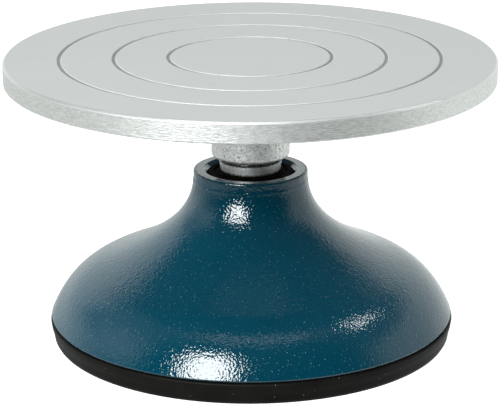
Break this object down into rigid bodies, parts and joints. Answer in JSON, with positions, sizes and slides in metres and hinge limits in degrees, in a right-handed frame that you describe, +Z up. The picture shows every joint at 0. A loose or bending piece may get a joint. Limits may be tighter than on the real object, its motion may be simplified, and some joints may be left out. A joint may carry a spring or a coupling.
{
  "type": "pottery banding wheel",
  "caption": "Small hand-turned pottery banding wheel: a grooved aluminium head on a ball-bearing spindle in a heavy bell-shaped base with a rubber foot ring.",
  "frame": {"origin": "middle of the footprint, on the table that the foot ring stands on", "axes": "+Z up along the spindle; the head's grub screw faces +Y; X and Y are otherwise alike"},
  "size_m": [0.2264, 0.2264, 0.134],
  "materials": {
    "head_aluminium": "fine-blasted working surface, finely turned rim, rough as-cast boss",
    "ground_steel": "ground bright",
    "bearing_steel": "polished",
    "black_steel": "oil-blackened spring steel",
    "cage_steel": "pressed sheet",
    "base_enamel": "glossy teal enamel over the grain of the casting",
    "foot_rubber": "matte moulded",
    "seal_rubber": "oily moulded",
    "cap_plastic": "fine moulded grain"
  },
  "bodies": {
    "base": {"base_casting": "base_enamel", "foot_ring": "foot_rubber", "shaft_seal": "seal_rubber", "seal_garter_spring": "black_steel", "upper_outer_race": "bearing_steel", "upper_bearing_top_shield": "ground_steel", "upper_bearing_bottom_shield": "ground_steel", "lower_outer_race": "bearing_steel", "lower_bearing_top_shield": "ground_steel", "lower_bearing_bottom_shield": "ground_steel", "hub_circlip": "black_steel", "hub_dust_cap": "cap_plastic"},
    "head": {"wheel_head": "head_aluminium", "spindle": "ground_steel", "head_grub_screw": "black_steel", "upper_inner_race": "bearing_steel", "lower_inner_race": "bearing_steel", "race_spacer": "ground_steel", "spindle_washer": "ground_steel", "spindle_circlip": "black_steel"},
    "upper_cage": {"upper_cage_top_half": "cage_steel", "upper_cage_bottom_half": "cage_steel", "upper_cage_rivets": "cage_steel", "upper_balls": "bearing_steel"},
    "lower_cage": {"lower_cage_top_half": "cage_steel", "lower_cage_bottom_half": "cage_steel", "lower_cage_rivets": "cage_steel", "lower_balls": "bearing_steel"}
  },
  "joints": [
    {"name": "head_spin", "type": "hinge", "parent": "base", "child": "head", "pos_m": [0, 0, 0.08], "axis": [0, 0, 1], "continuous": true},
    {"name": "upper_cage_spin", "type": "hinge", "parent": "base", "child": "upper_cage", "pos_m": [0, 0, 0.067], "axis": [0, 0, 1], "continuous": true},
    {"name": "lower_cage_spin", "type": "hinge", "parent": "base", "child": "lower_cage", "pos_m": [0, 0, 0.03], "axis": [0, 0, 1], "continuous": true}
  ],
  "couplings": [
    {"joint": "upper_cage_spin", "follows": "head_spin", "ratio": 0.3816},
    {"joint": "lower_cage_spin", "follows": "head_spin", "ratio": 0.3816}
  ]
}
